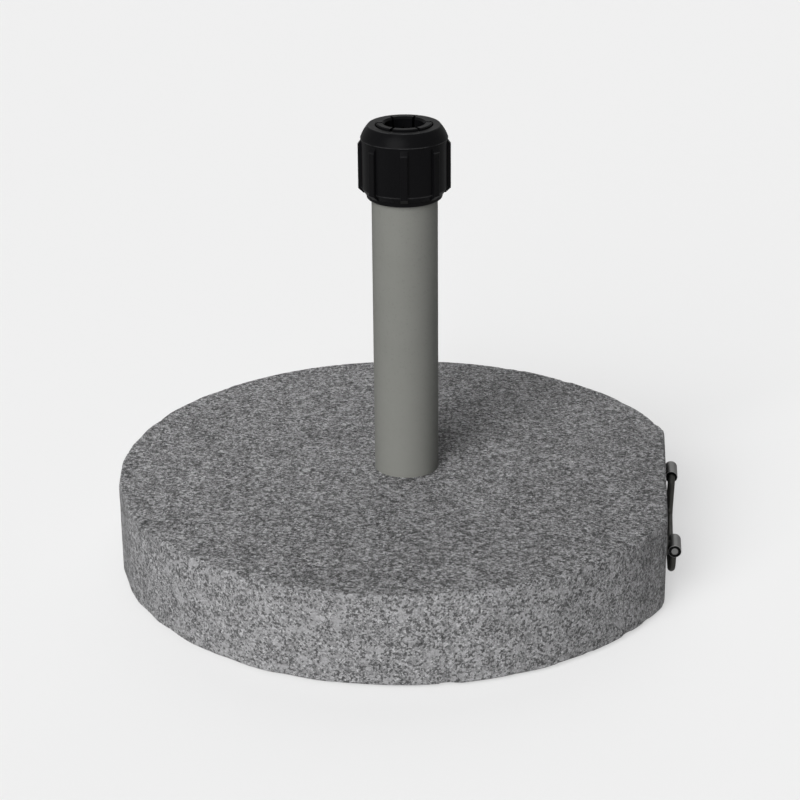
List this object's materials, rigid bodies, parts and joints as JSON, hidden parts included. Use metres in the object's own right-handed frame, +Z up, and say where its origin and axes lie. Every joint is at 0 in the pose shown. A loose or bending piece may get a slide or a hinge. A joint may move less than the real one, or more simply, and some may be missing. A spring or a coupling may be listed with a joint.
{
  "type": "parasol base",
  "caption": "Round stone parasol stand with one flat side, a steel stand tube, a screw clamp head for the pole and a hinged bail handle.",
  "frame": {"origin": "on the ground, at the axis of the stand tube, which is also the middle of the slab's round side", "axes": "+Z up along the tube's axis, +X out of the slab's flat side with the handle, +Y along that flat side"},
  "size_m": [0.4431, 0.45, 0.3603],
  "materials": {
    "granite": "matt, flamed, speckled light grey",
    "powder_coat": "fine-textured grey-green powder coat",
    "black_plastic": "semi-gloss black moulding",
    "stainless": "satin stainless steel",
    "zinc_steel": "zinc plated",
    "grey_nylon": "matt grey nylon",
    "rubber": "matt black rubber"
  },
  "bodies": {
    "base": {"granite_slab": "granite", "stand_tube": "powder_coat", "tube_foot_disc": "zinc_steel", "clamp_plate": "zinc_steel", "spring_washer": "zinc_steel", "clamp_bolt": "zinc_steel", "pole_guide": "black_plastic", "threaded_head": "black_plastic", "split_collet": "black_plastic", "eye_bracket_front": "stainless", "eye_bracket_rear": "stainless", "rosette_front": "stainless", "rosette_rear": "stainless", "anchor_sleeve_front": "grey_nylon", "anchor_sleeve_rear": "grey_nylon", "rubber_foot_1": "rubber", "rubber_foot_2": "rubber", "rubber_foot_3": "rubber", "rubber_foot_4": "rubber"},
    "thrust_ring": {"pressure_ring": "black_plastic"},
    "nut": {"clamp_nut": "black_plastic"},
    "handle": {"bail_handle": "stainless"}
  },
  "joints": [
    {"name": "clamp_nut_travel", "type": "slide", "parent": "base", "child": "thrust_ring", "axis": [0, 0, 1], "range_m": [-0.00101, 0.01401]},
    {"name": "clamp_nut_turn", "type": "hinge", "parent": "thrust_ring", "child": "nut", "pos_m": [0, 0, 0.33], "axis": [0, 0, 1], "range_deg": [-90, 1260]},
    {"name": "bail_swing", "type": "hinge", "parent": "base", "child": "handle", "pos_m": [0.2131, 0, 0.0463], "axis": [0, -1, 0], "range_deg": [0, 184]}
  ],
  "couplings": [
    {"joint": "clamp_nut_travel", "follows": "clamp_nut_turn", "m_per_rad": 0.00063662}
  ]
}
